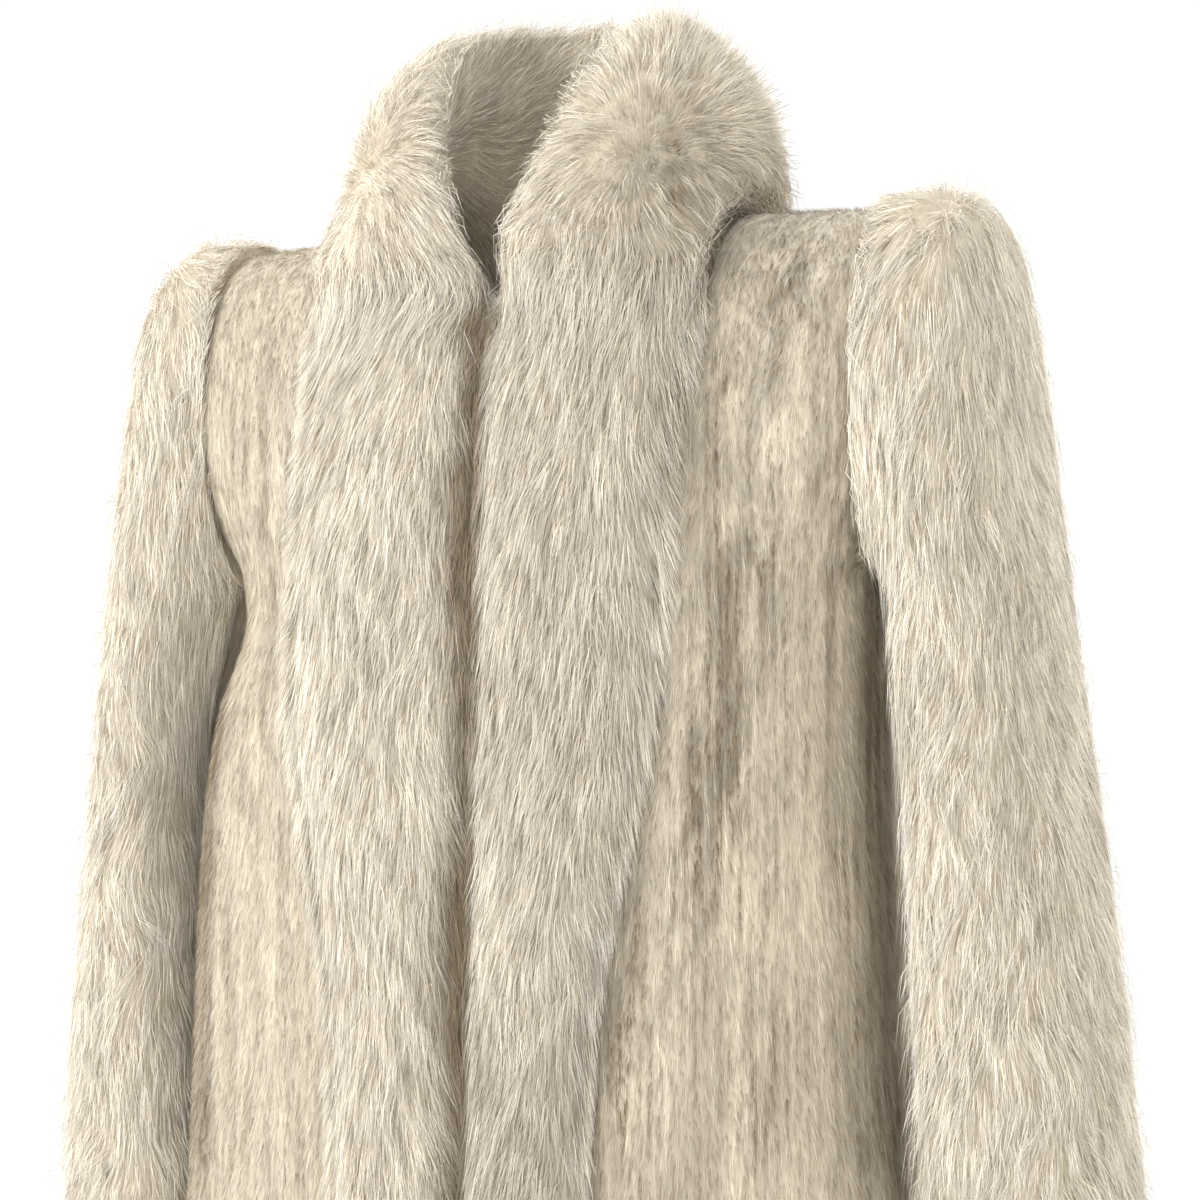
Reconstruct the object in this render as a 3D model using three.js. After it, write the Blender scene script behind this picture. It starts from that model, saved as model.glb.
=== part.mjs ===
// A fur coat, open at neck, cuffs and hem, filled out as it hangs from a pair of shoulders.
// Mink fronts and back, with fox front bands, fox shawl collar and fox top sleeves.
// Millimetres, +Z up, front towards -Y, the wearer's left at +X.
// The origin lies midway between the shoulders, at the height of the base of the neck.

import * as THREE from "three";

// Driving sizes
const hem_z = -1050;
const underarm_z = -238;
const shoulder_z = -8;
const shoulder_rise_to_neck = 8;
const armhole_half_deep = 68;
const armhole_round = 2.3;
const body_flare_high = 40;
const sleeve_flare_high = 75;
const sleeve_lean_under_arm = 0.3;
const seam_gap = 0.3;

// Pile and skin together, from the inside of the coat to the tips of the hair
const mink_pile = 9;
const mink_sleeve_pile = 8;
const fox_band_pile = 36;
const fox_sleeve_pile = 28;
const fox_edge_pile = 11;
const fox_seam_share = 0.55;
const fox_seam_rise = 0.14;
const band_crown = 2.6;
const sleeve_crown = 4;

// Body rings, hem to underarm: half width on each side, and depth in front of and behind the side
// seams. The right side swings out under its sleeve.
const body_sections = [
  { z: -1050, left: 282, right: 298, front: 160, back: 172 },
  { z: -800, left: 258, right: 283, front: 146, back: 149 },
  { z: -600, left: 242, right: 275, front: 134, back: 134 },
  { z: -500, left: 237, right: 272, front: 129, back: 128 },
  { z: -400, left: 232, right: 266, front: 124, back: 122 },
  { z: -330, left: 231, right: 254, front: 120, back: 119 },
  { z: -275, left: 231, right: 231, front: 118, back: 117 },
  { z: -238, left: 232, right: 232, front: 117, back: 116 },
];
const body_round = 2.4;
const shoulder_round = 2.4;
const shoulder_even = 1.2;
const yoke_sharp = 1.92;
const yoke_ease_high = 70;

// How far the fox band reaches from the centre front on each side, hem to neck
const band_sections = [
  { z: -1050, left: 84, right: 96 },
  { z: -700, left: 85, right: 99 },
  { z: -600, left: 86, right: 101 },
  { z: -520, left: 90, right: 109 },
  { z: -430, left: 106, right: 127 },
  { z: -330, left: 121, right: 149 },
  { z: -260, left: 128, right: 153 },
  { z: -190, left: 132, right: 144 },
  { z: -120, left: 139, right: 139 },
  { z: -60, left: 145, right: 143 },
  { z: 20, left: 148, right: 148 },
];
const band_top_z = -60;

// How far the armhole seam lies from the centre, underarm to shoulder
const armhole_sections = [
  { z: -238, x: 232 },
  { z: -195, x: 246 },
  { z: -125, x: 253 },
  { z: -55, x: 250 },
  { z: -8, x: 242 },
];

// Soft folds that fall from the chest and the shoulder blades; x is its distance from the centre,
// negative on the wearer's right, at the top and at the hem
const front_folds = [
  { top_x: 176, hem_x: 150, top_z: -90, depth: 12, half_wide: 17 },
  { top_x: 205, hem_x: 214, top_z: -300, depth: 12, half_wide: 20 },
  { top_x: -178, hem_x: -165, top_z: -120, depth: 11, half_wide: 18 },
  { top_x: -206, hem_x: -222, top_z: -330, depth: 12, half_wide: 19 },
];
const fold_fade_centre = 0.12;
const fold_fade_side = { from: 0.02, to: 0.2 };
const back_folds = [
  { top_x: -172, hem_x: -212, top_z: -250, depth: 17, half_wide: 27 },
  { top_x: -96, hem_x: -124, top_z: -330, depth: 14, half_wide: 22 },
  { top_x: -26, hem_x: -38, top_z: -290, depth: 18, half_wide: 25 },
  { top_x: 54, hem_x: 62, top_z: -370, depth: 13, half_wide: 21 },
  { top_x: 118, hem_x: 150, top_z: -260, depth: 17, half_wide: 26 },
  { top_x: 186, hem_x: 228, top_z: -350, depth: 13, half_wide: 21 },
];

// Collar, from the top of the band round to the centre back. e is the edge beside the neck and
// g the outer lower edge; out and under are how far the fur stands off the line between them,
// and face_x, face_y, face_z the way it faces.
const collar_sections = [
  { ex: 12, ey: -131, ez: -18, gx: 152, gy: -88, gz: -26, out: 22, under: 10, face_x: 0.1, face_y: -1, face_z: 0.15 },
  { ex: 30, ey: -110, ez: 34, gx: 154, gy: -48, gz: 4, out: 31, under: 17, face_x: 0.3, face_y: -0.85, face_z: 0.45 },
  { ex: 46, ey: -80, ez: 88, gx: 153, gy: -6, gz: 12, out: 43, under: 26, face_x: 0.6, face_y: -0.5, face_z: 0.6 },
  { ex: 56, ey: -32, ez: 130, gx: 145, gy: 34, gz: 6, out: 48, under: 31, face_x: 0.85, face_y: -0.1, face_z: 0.6 },
  { ex: 54, ey: 22, ez: 150, gx: 118, gy: 88, gz: -26, out: 49, under: 34, face_x: 0.8, face_y: 0.45, face_z: 0.5 },
  { ex: 35, ey: 56, ez: 158, gx: 68, gy: 112, gz: -60, out: 46, under: 36, face_x: 0.42, face_y: 0.8, face_z: 0.45 },
  { ex: 0, ey: 66, ez: 160, gx: 0, gy: 121, gz: -72, out: 44, under: 37, face_x: 0, face_y: 1, face_z: 0.42 },
];
const back_neck_z = -54;
const neck_half_wide = 124;

// Sleeve, armhole to cuff: the outer line of its hollow, the inner line beside each side of the
// body, the middle of its depth, and half its depth
const sleeve_sections = [
  { outer_x: 272, outer_z: -11, left_x: 250, right_x: 250, inner_z: -241, y: 6, half_deep: 71 },
  { outer_x: 296, outer_z: -21, left_x: 257, right_x: 258, inner_z: -252, y: 11, half_deep: 75 },
  { outer_x: 310, outer_z: -52, left_x: 261, right_x: 266, inner_z: -272, y: 14, half_deep: 79 },
  { outer_x: 318, outer_z: -104, left_x: 263, right_x: 274, inner_z: -300, y: 17, half_deep: 82 },
  { outer_x: 327, outer_z: -170, left_x: 266, right_x: 284, inner_z: -335, y: 19, half_deep: 83 },
  { outer_x: 338, outer_z: -262, left_x: 271, right_x: 290, inner_z: -388, y: 21, half_deep: 83 },
  { outer_x: 349, outer_z: -352, left_x: 275, right_x: 294, inner_z: -446, y: 24, half_deep: 82 },
  { outer_x: 360, outer_z: -450, left_x: 278, right_x: 297, inner_z: -515, y: 27, half_deep: 80 },
  { outer_x: 370, outer_z: -555, left_x: 282, right_x: 300, inner_z: -595, y: 29, half_deep: 78 },
  { outer_x: 381, outer_z: -690, left_x: 287, right_x: 303, inner_z: -700, y: 31, half_deep: 77 },
];
// Round the sleeve, 0 degrees faces out and 90 to the front: where the fox starts behind, and ends
const fox_behind_at_cap = -62;
const fox_behind_at_cuff = -20;
const fox_end_inside = 163;
const fox_start_ease = { from: 0.15, to: 0.75 };
const sleeve_seam_degrees = 0.35;

// Steps across each piece, and down each sleeve
const back_steps = 36;
const front_steps = 10;
const fox_sleeve_steps = 12;
const mink_sleeve_steps = 9;
const sleeve_steps = 18;

const radians = Math.PI / 180;
const mix = THREE.MathUtils.lerp;
const ease = THREE.MathUtils.smoothstep;

// Smooth value of one column of a table at a place given in rows from the first
function column(rows, name, place) {
  const last = rows.length - 1;
  const at = Math.min(Math.max(place, 0), last);
  const row = Math.min(Math.floor(at), last - 1);
  const value = (index) => rows[Math.min(Math.max(index, 0), last)][name];
  const part = at - row;
  const before = value(row - 1);
  const low = value(row);
  const high = value(row + 1);
  const after = value(row + 2);
  const bend = 2 * before - 5 * low + 4 * high - after;
  const twist = 3 * (low - high) + after - before;
  return low + 0.5 * part * (high - before + part * (bend + part * twist));
}

// Smooth value of one column at a height
function at_height(rows, name, z) {
  const above = rows.findIndex((row) => row.z >= z);
  if (above < 0) return rows[rows.length - 1][name];
  if (above === 0) return rows[0][name];
  const low = rows[above - 1].z;
  return column(rows, name, above - 1 + (z - low) / (rows[above].z - low));
}

const word_of = (side) => (side > 0 ? "left" : "right");

// Powered sine and cosine, for sections between an ellipse and a rectangle
const rounded = (value, power) => Math.sign(value) * Math.abs(value) ** (2 / power);

function fold_depth(folds, x, z) {
  let depth = 0;
  for (const fold of folds) {
    const down = THREE.MathUtils.clamp((fold.top_z - z) / (fold.top_z - hem_z), 0, 1);
    const away = (x - mix(fold.top_x, fold.hem_x, down)) / (fold.half_wide * (1 + 0.5 * down));
    depth += fold.depth * Math.sqrt(down) * Math.exp(-away * away);
  }
  return depth;
}

// Half depth of the armhole at a height
function armhole_depth(z, pile) {
  const middle = (underarm_z + shoulder_z) / 2;
  const half_high = (shoulder_z - underarm_z) / 2 + pile;
  const share = Math.min(Math.abs(z - middle) / half_high, 1);
  return (armhole_half_deep + pile) * (1 - share ** armhole_round) ** (1 / armhole_round);
}

// Where the armhole cuts the body, measured from the centre; pile flares out under the arm
function armhole_x(z, pile, flare_high) {
  const under = Math.max(1 - Math.max(z - underarm_z, 0) / flare_high, 0);
  return at_height(armhole_sections, "x", z) + pile * under;
}

// A point of the body. face is -1 in front and 1 behind, around runs from the centre at 0 to the
// side seam or armhole at 1, up from the hem at 0, past the underarm, to the shoulder seam at 1.
const share_below_arm = 0.6;
const body_rows = 20;
function body_point(face, side, around, up, pile, folds) {
  const depth_name = face < 0 ? "front" : "back";
  const turn = around * 90 * radians;
  const across = rounded(Math.sin(turn), body_round);
  let z;
  let half_wide;
  let depth;
  let at_arm = 0;
  let sharp = 1;
  if (up <= share_below_arm) {
    z = mix(hem_z, underarm_z, up / share_below_arm);
    half_wide = at_height(body_sections, word_of(side), z) + pile;
    depth = at_height(body_sections, depth_name, z) + pile;
  } else {
    const lean = ((up - share_below_arm) / (1 - share_below_arm)) ** shoulder_even * 90 * radians;
    const neck_rise = shoulder_rise_to_neck * (1 - across);
    const high = shoulder_z + neck_rise + pile - underarm_z;
    z = underarm_z + high * rounded(Math.sin(lean), shoulder_round);
    depth = (body_sections.at(-1)[depth_name] + pile) * rounded(Math.cos(lean), shoulder_round);
    at_arm = Math.min(armhole_depth(z - neck_rise, pile), depth);
    half_wide = armhole_x(z, pile, body_flare_high);
    sharp = mix(1, yoke_sharp, ease(z, underarm_z, underarm_z + yoke_ease_high));
  }
  const x = half_wide * across;
  const back_off = Math.abs(rounded(Math.cos(turn), body_round)) ** sharp;
  const off_side = ease(1 - around, fold_fade_side.from, fold_fade_side.to);
  const off_centre = face > 0 ? 1 : ease(around, 0, fold_fade_centre);
  const crease = fold_depth(folds, side * x, z) * off_side * off_centre;
  const y = at_arm + (depth - at_arm) * back_off - crease;
  return new THREE.Vector3(side * x, face * (seam_gap / 2 + Math.max(y, 0)), z);
}

// How far round, in body_point's terms, the front reaches a distance from the centre at a height
function around_at(side, x, up, pile) {
  const wide = Math.abs(body_point(-1, side, 1, up, pile, []).x);
  return Math.asin(Math.min(x / wide, 1) ** (body_round / 2)) / (90 * radians);
}

// A closed solid from faces that may still point in: they are turned out if its volume is negative
function solid(points, faces) {
  const geometry = new THREE.BufferGeometry();
  let volume = 0;
  for (const [a, b, c] of faces) {
    volume += points[a].dot(new THREE.Vector3().crossVectors(points[b], points[c]));
  }
  const out = volume < 0 ? faces.map(([a, b, c]) => [a, c, b]) : faces;
  geometry.setAttribute("position", new THREE.Float32BufferAttribute(points.flatMap((p) => p.toArray()), 3));
  geometry.setIndex(out.flat());
  geometry.computeVertexNormals();
  return geometry;
}

function quad(faces, a, b, c, d) {
  faces.push([a, b, c], [a, c, d]);
}

// A wall between two sheets of points, each a function of how far across and how far up
function wall(outside, inside, steps_across, steps_up) {
  const points = [];
  for (const sheet of [outside, inside]) {
    for (let row = 0; row <= steps_up; row += 1) {
      for (let step = 0; step <= steps_across; step += 1) {
        points.push(sheet(step / steps_across, row / steps_up));
      }
    }
  }
  const wide = steps_across + 1;
  const inner = wide * (steps_up + 1);
  const faces = [];
  for (let row = 0; row < steps_up; row += 1) {
    for (let step = 0; step < steps_across; step += 1) {
      const low = row * wide + step;
      quad(faces, low, low + 1, low + wide + 1, low + wide);
      quad(faces, inner + low, inner + low + wide, inner + low + wide + 1, inner + low + 1);
    }
    const left = row * wide;
    const right = left + steps_across;
    quad(faces, left, left + wide, inner + left + wide, inner + left);
    quad(faces, right, inner + right, inner + right + wide, right + wide);
  }
  const top = steps_up * wide;
  for (let step = 0; step < steps_across; step += 1) {
    quad(faces, step, inner + step, inner + step + 1, step + 1);
    quad(faces, top + step, top + step + 1, inner + top + step + 1, inner + top + step);
  }
  return solid(points, faces);
}

// A closed solid through rings of equal count, with a fan over each end
function loft(rings) {
  const count = rings[0].length;
  const points = rings.flat();
  const faces = [];
  for (let ring = 0; ring + 1 < rings.length; ring += 1) {
    for (let step = 0; step < count; step += 1) {
      const next = (step + 1) % count;
      const low = ring * count;
      quad(faces, low + step, low + next, low + count + next, low + count + step);
    }
  }
  for (const end of [0, rings.length - 1]) {
    const middle = points.length;
    const centre = rings[end].reduce((sum, p) => sum.add(p), new THREE.Vector3()).divideScalar(count);
    points.push(centre);
    for (let step = 0; step < count; step += 1) {
      const here = end * count + step;
      const next = end * count + ((step + 1) % count);
      faces.push(end === 0 ? [middle, next, here] : [middle, here, next]);
    }
  }
  return solid(points, faces);
}

const mink = { color: 0xb09c7f, roughness: 0.7, metalness: 0 };
const fox = { color: 0xc9bca8, roughness: 0.9, metalness: 0 };
const coat = new THREE.Group();

function add(name, geometry, finish) {
  const mesh = new THREE.Mesh(geometry, new THREE.MeshStandardMaterial(finish));
  mesh.name = name;
  coat.add(mesh);
}

// Mink back: one piece from side seam to side seam, with its neckline scooped under the collar
function back_sheet(pile) {
  return (across, up) => {
    const place = across * 2 - 1;
    const side = place < 0 ? -1 : 1;
    const around = Math.abs(place);
    const away = Math.abs(body_point(1, 1, around, share_below_arm, 0, []).x) / neck_half_wide;
    const scoop = away < 1 ? (1 - away * away) ** 0.5 : 0;
    const highest = mix(1, height_share(back_neck_z), scoop);
    return body_point(1, side, around, up * highest, pile, back_folds);
  };
}
add("back", wall(back_sheet(mink_pile), back_sheet(0), back_steps, body_rows), mink);

// Mink fronts: from the fox band to the side seam and the armhole
function front_sheet(side, pile) {
  return (across, up) => {
    const z = body_point(-1, side, 0.5, up, pile, []).z;
    const edge = at_height(band_sections, word_of(side), z) + seam_gap;
    return body_point(-1, side, mix(around_at(side, edge, up, pile), 1, across), up, pile, front_folds);
  };
}

// Fox bands: rings at each height, out over the crown of the fur and back along the inside
const band_ring_outside = 9;
const band_ring_inside = 7;
function band_ring(side, z, pile) {
  const ring = [];
  const reach = at_height(band_sections, word_of(side), z) - seam_gap / 2;
  const up = height_share(z);
  const skin = (x) => body_point(-1, side, around_at(side, x, up, 0), up, 0, []);
  for (let step = 0; step < band_ring_outside; step += 1) {
    const across = step / (band_ring_outside - 1);
    const crown = (1 - Math.abs(across * 2 - 1) ** band_crown) ** 0.5;
    const point = skin(mix(seam_gap / 2, reach, across));
    point.y -= mix(fox_edge_pile, pile, crown);
    ring.push(point);
  }
  for (let step = 0; step < band_ring_inside; step += 1) {
    ring.push(skin(mix(reach, seam_gap / 2, step / (band_ring_inside - 1))));
  }
  return ring.map((point) => point.setZ(z));
}

// body_point's share of the way up for a height, under the fox band
function height_share(z) {
  if (z <= underarm_z) return (share_below_arm * (z - hem_z)) / (underarm_z - hem_z);
  const high = shoulder_z + shoulder_rise_to_neck / 2 - underarm_z;
  const lean = Math.asin(Math.min((z - underarm_z) / high, 1) ** (shoulder_round / 2));
  return share_below_arm + (1 - share_below_arm) * (lean / (90 * radians)) ** (1 / shoulder_even);
}

// Collar halves: the first ring is the top of the band, and the rest follow the table
function collar_ring(side, place) {
  const value = (name) => column(collar_sections, name, place);
  const edge = new THREE.Vector3(value("ex"), value("ey"), value("ez"));
  const low = new THREE.Vector3(value("gx"), value("gy"), value("gz"));
  const chord = low.clone().sub(edge).normalize();
  const face = new THREE.Vector3(value("face_x"), value("face_y"), value("face_z"));
  face.addScaledVector(chord, -face.dot(chord)).normalize();
  const ring = [];
  for (let step = 0; step < band_ring_outside; step += 1) {
    const across = step / (band_ring_outside - 1);
    const point = edge.clone().lerp(low, across);
    const bulge = Math.sin(Math.PI * across ** collar_crown.outside) ** collar_crown.full;
    ring.push(point.addScaledVector(face, value("out") * bulge));
  }
  for (let step = 1; step <= band_ring_inside; step += 1) {
    const across = step / (band_ring_inside + 1);
    const point = low.clone().lerp(edge, across);
    ring.push(point.addScaledVector(face, -value("under") * Math.sin(Math.PI * across ** collar_crown.inside)));
  }
  return ring.map((point) => new THREE.Vector3(side * Math.max(point.x, seam_gap / 2), point.y, point.z));
}
const collar_steps = 12;
const collar_crown = { outside: 0.85, full: 0.6, inside: 0.8 };

// Sleeves: a ring of the hollow or of the hair tips, at a place in rows from the armhole
function sleeve_point(side, degrees, place, pile) {
  const turn = degrees * radians;
  const out = rounded(Math.cos(turn), armhole_round);
  const ahead = rounded(Math.sin(turn), armhole_round);
  if (place <= 0) {
    const middle = (underarm_z + shoulder_z) / 2;
    const z = middle + out * ((shoulder_z - underarm_z) / 2 + pile);
    const y = -ahead * (armhole_half_deep + pile);
    const clear = 2 * seam_gap + sleeve_lean_under_arm * Math.max(underarm_z - z, 0);
    return new THREE.Vector3(side * (armhole_x(z, mink_pile, sleeve_flare_high) + clear), y, z);
  }
  const rows = place < 1 ? [armhole_row, ...sleeve_sections] : sleeve_sections;
  const value = (name) => column(rows, name, place < 1 ? place : place - 1);
  const outer = new THREE.Vector3(value("outer_x"), 0, value("outer_z"));
  const inner = new THREE.Vector3(value(`${word_of(side)}_x`), 0, value("inner_z"));
  const centre = outer.clone().add(inner).multiplyScalar(0.5);
  const half = outer.sub(inner).multiplyScalar(0.5);
  const length = half.length();
  centre.addScaledVector(half.normalize(), out * (length + pile));
  centre.y = value("y") - ahead * (value("half_deep") + pile);
  centre.x *= side;
  return centre;
}
const armhole_row = {
  outer_x: armhole_sections.at(-1).x,
  outer_z: shoulder_z,
  left_x: armhole_sections[0].x + mink_pile,
  right_x: armhole_sections[0].x + mink_pile,
  inner_z: underarm_z,
  y: 0,
  half_deep: armhole_half_deep,
};
const sleeve_rows = sleeve_sections.length;

function fox_start(down) {
  return mix(fox_behind_at_cap, fox_behind_at_cuff, ease(down, fox_start_ease.from, fox_start_ease.to));
}

function sleeve_fox_pile(across, down) {
  const crown = (1 - Math.abs(across * 2 - 1) ** sleeve_crown) ** 0.5;
  const rise = mix(fox_seam_share, 1, ease(down, 0, fox_seam_rise));
  return mix(fox_edge_pile, fox_sleeve_pile * rise, crown);
}

function sleeve_fox_sheet(side, share) {
  return (across, down) => {
    const degrees = mix(fox_start(down), fox_end_inside, across);
    return sleeve_point(side, degrees, down * sleeve_rows, share * sleeve_fox_pile(across, down));
  };
}

function sleeve_mink_sheet(side, pile) {
  return (across, down) => {
    const first = fox_end_inside + sleeve_seam_degrees;
    const last = 360 + fox_start(down) - sleeve_seam_degrees;
    const degrees = mix(first, last, across);
    return sleeve_point(side, degrees, down * sleeve_rows, pile);
  };
}

for (const { word, side } of [{ word: "left", side: 1 }, { word: "right", side: -1 }]) {
  add(`front_${word}`, wall(front_sheet(side, mink_pile), front_sheet(side, 0), front_steps, body_rows), mink);

  const band = [];
  for (let row = 0; row <= body_rows; row += 1) {
    const z = Math.min(body_point(-1, 1, 0.5, row / body_rows, 0, []).z, band_top_z);
    band.push(band_ring(side, z, fox_band_pile));
    if (z === band_top_z) break;
  }
  add(`tuxedo_${word}`, loft(band), fox);

  const collar = [band_ring(side, band_top_z + seam_gap, fox_band_pile)];
  for (let step = 0; step <= collar_steps; step += 1) {
    collar.push(collar_ring(side, (step / collar_steps) * (collar_sections.length - 1)));
  }
  add(`collar_${word}`, loft(collar), fox);

  const fox_sleeve = wall(sleeve_fox_sheet(side, 1), sleeve_fox_sheet(side, 0), fox_sleeve_steps, sleeve_steps);
  add(`sleeve_${word}_fox`, fox_sleeve, fox);
  const outside = sleeve_mink_sheet(side, mink_sleeve_pile);
  const mink_sleeve = wall(outside, sleeve_mink_sheet(side, 0), mink_sleeve_steps, sleeve_steps);
  add(`sleeve_${word}_mink`, mink_sleeve, mink);
}

export default coat;
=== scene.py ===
import math

import bmesh
import bpy
import numpy as np
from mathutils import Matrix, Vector, kdtree


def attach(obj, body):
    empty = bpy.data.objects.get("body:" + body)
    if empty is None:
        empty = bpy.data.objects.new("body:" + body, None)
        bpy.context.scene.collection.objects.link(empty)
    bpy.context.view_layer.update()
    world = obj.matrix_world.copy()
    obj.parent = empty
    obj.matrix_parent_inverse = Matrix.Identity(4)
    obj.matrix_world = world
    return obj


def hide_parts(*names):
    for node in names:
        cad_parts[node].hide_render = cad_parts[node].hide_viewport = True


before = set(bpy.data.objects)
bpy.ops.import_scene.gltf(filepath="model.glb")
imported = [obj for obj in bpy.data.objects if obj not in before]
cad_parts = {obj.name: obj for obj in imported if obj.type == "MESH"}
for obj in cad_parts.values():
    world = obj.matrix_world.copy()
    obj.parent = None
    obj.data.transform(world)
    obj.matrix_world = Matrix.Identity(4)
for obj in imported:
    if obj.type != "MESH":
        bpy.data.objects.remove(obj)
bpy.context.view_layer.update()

# Mink back
# One wide piece of let-out mink strips, dressed skins with the hair left on, sewn side by side.
# It hangs from the shoulder seams to the hem and falls in soft folds from the shoulder blades.

# Sizes are in millimetres, as on the pattern, and the functions give metres.
hem_z = -1050
underarm_z = -238
shoulder_z = -8
shoulder_rise_to_neck = 8
body_rings = {
    "z": (-1050, -800, -600, -500, -400, -330, -275, -238),
    "left": (282, 258, 242, 237, 232, 231, 231, 232),
    "right": (298, 283, 275, 272, 266, 254, 231, 232),
    "front": (160, 146, 134, 129, 124, 120, 118, 117),
    "back": (172, 149, 134, 128, 122, 119, 117, 116),
}
body_round = 2.4
shoulder_round = 2.4
shoulder_even = 1.2
share_below_arm = 0.6
armhole_rings = {"z": (-238, -195, -125, -55, -8), "x": (232, 246, 253, 250, 242)}
armhole_half_deep = 68
armhole_round = 2.3
body_flare_high = 40
seam_gap = 0.3
back_folds = {
    "top_x": (-172, -96, -26, 54, 118, 186),
    "hem_x": (-212, -124, -38, 62, 150, 228),
    "top_z": (-250, -330, -290, -370, -260, -350),
    "depth": (17, 14, 18, 13, 17, 13),
    "half_wide": (27, 22, 25, 21, 26, 21),
}
fold_spread_at_hem = 0.5
fold_fade_at_seam = (0.02, 0.2)
fold_fade_at_edge = 0.12
armhole_fill_reach = 0.7
back_neck_z = -54
neck_half_wide = 124
mink_pile = 9


def mix(first, last, share):
    return first + (last - first) * share


def ease(value, start, end):
    """0 up to start, 1 from end on, and a smooth rise between"""
    share = np.clip((value - start) / (end - start), 0, 1)
    return share * share * (3 - 2 * share)


def rounded(value, power):
    """A sine or cosine pushed out to that of a rounded square; power 2 leaves it a circle's"""
    return np.sign(value) * np.abs(value) ** (2 / power)


def smooth_value(column, place):
    """A column of a pattern table, read smoothly at a place counted in rows"""
    column = np.asarray(column, float)
    last = len(column) - 1
    at = np.clip(place, 0, last)
    row = np.minimum(np.floor(at).astype(int), last - 1)
    part = at - row
    before = column[np.maximum(row - 1, 0)]
    low = column[row]
    high = column[row + 1]
    after = column[np.minimum(row + 2, last)]
    bend = 2 * before - 5 * low + 4 * high - after
    twist = 3 * (low - high) + after - before
    return low + 0.5 * part * (high - before + part * (bend + part * twist))


def at_height(table, name, z):
    """A column of a table that is read by height"""
    heights = np.asarray(table["z"], float)
    z = np.clip(z, heights[0], heights[-1])
    above = np.clip(np.searchsorted(heights, z), 1, len(heights) - 1)
    low = heights[above - 1]
    return smooth_value(table[name], above - 1 + (z - low) / (heights[above] - low))


def fold_depth(folds, x, z):
    """How far soft folds sink in; each deepens and widens from its top to the hem"""
    depth = 0
    for top_x, hem_x, top_z, deep, half_wide in zip(*folds.values()):
        down = np.clip((top_z - z) / (top_z - hem_z), 0, 1)
        away = (x - mix(top_x, hem_x, down)) / (half_wide * (1 + fold_spread_at_hem * down))
        depth = depth + deep * np.sqrt(down) * np.exp(-away * away)
    return depth


def armhole_x(z, pile, flare_high):
    """The armhole's distance from the centre line; the pile widens it under the arm alone"""
    under = np.maximum(1 - np.maximum(z - underarm_z, 0) / flare_high, 0)
    return at_height(armhole_rings, "x", z) + pile * under


def body_form(face, side, around, up, pile, folds):
    """A point of the body: face is -1 in front and 1 behind, around runs from the centre line at 0
    to the side seam or armhole at 1, and up from the hem to the shoulder seam"""
    depth_name = "front" if face < 0 else "back"
    across = rounded(np.sin(around * math.pi / 2), body_round)
    low_z = mix(hem_z, underarm_z, up / share_below_arm)
    left = at_height(body_rings, "left", low_z)
    right = at_height(body_rings, "right", low_z)
    low_wide = np.where(side > 0, left, right) + pile
    low_depth = at_height(body_rings, depth_name, low_z) + pile
    above = np.clip((up - share_below_arm) / (1 - share_below_arm), 0, 1)
    lean = above ** shoulder_even * math.pi / 2
    neck_rise = shoulder_rise_to_neck * (1 - across)
    high = shoulder_z + neck_rise + pile - underarm_z
    top_z = underarm_z + high * rounded(np.sin(lean), shoulder_round)
    top_depth = (body_rings[depth_name][-1] + pile) * rounded(np.cos(lean), shoulder_round)
    middle = (underarm_z + shoulder_z) / 2
    half_high = (shoulder_z - underarm_z) / 2 + np.where(top_z > middle, pile, 0)
    off_middle = np.minimum(np.abs(top_z - neck_rise - middle) / half_high, 1)
    arm_depth = (armhole_half_deep + pile) * (1 - off_middle ** armhole_round) ** (1 / armhole_round)
    below = up <= share_below_arm
    z = np.where(below, low_z, top_z)
    wide = np.where(below, low_wide, armhole_x(top_z, pile, body_flare_high))
    depth = np.where(below, low_depth, top_depth)
    at_arm = np.where(below, 0, np.minimum(arm_depth, top_depth))
    x = wide * across
    front_depth = depth * np.abs(rounded(np.cos(around * math.pi / 2), body_round))
    at_arm = at_arm * ease(around, 0, armhole_fill_reach)
    depth = (front_depth ** 3 + at_arm ** 3) ** (1 / 3)
    crease = fold_depth(folds, side * x, z) if folds else 0
    crease = crease * ease(1 - around, *fold_fade_at_seam)
    if face < 0:
        crease = crease * ease(around, 0, fold_fade_at_edge)
    y = np.maximum(depth - crease, 0)
    return np.stack([side * x, face * (seam_gap / 2 + y), z], -1) * 0.001


def height_share(z):
    """How far up the body, from 0 to 1, the height z lies"""
    high = shoulder_z + shoulder_rise_to_neck / 2 - underarm_z
    part = np.clip((z - underarm_z) / high, 0, 1) ** (shoulder_round / 2)
    above = (np.arcsin(part) / (math.pi / 2)) ** (1 / shoulder_even)
    low = share_below_arm * (z - hem_z) / (underarm_z - hem_z)
    return np.where(z <= underarm_z, low, mix(share_below_arm, 1, above))


def back_sheet(across, up, share):
    """The back from the wearer's right to left; share is 0 at the skin and 1 at the hair tips"""
    place = across * 2 - 1
    side = np.where(place < 0, -1.0, 1.0)
    around = np.abs(place)
    widest = body_form(1, 1, around, np.full_like(up, share_below_arm), 0, None)[..., 0]
    away = np.minimum(widest * 1000 / neck_half_wide, 1)
    highest = mix(1, height_share(np.float64(back_neck_z)), (1 - away * away) ** 0.5)
    return body_form(1, side, around, up * highest, share * mink_pile, back_folds)


def paint(red, green, blue):
    """Linear colour for the 0 to 255 values of a colour chip"""
    def linear(value):
        value = value / 255
        return value / 12.92 if value <= 0.04045 else ((value + 0.055) / 1.055) ** 2.4
    return linear(red), linear(green), linear(blue), 1.0


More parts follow.
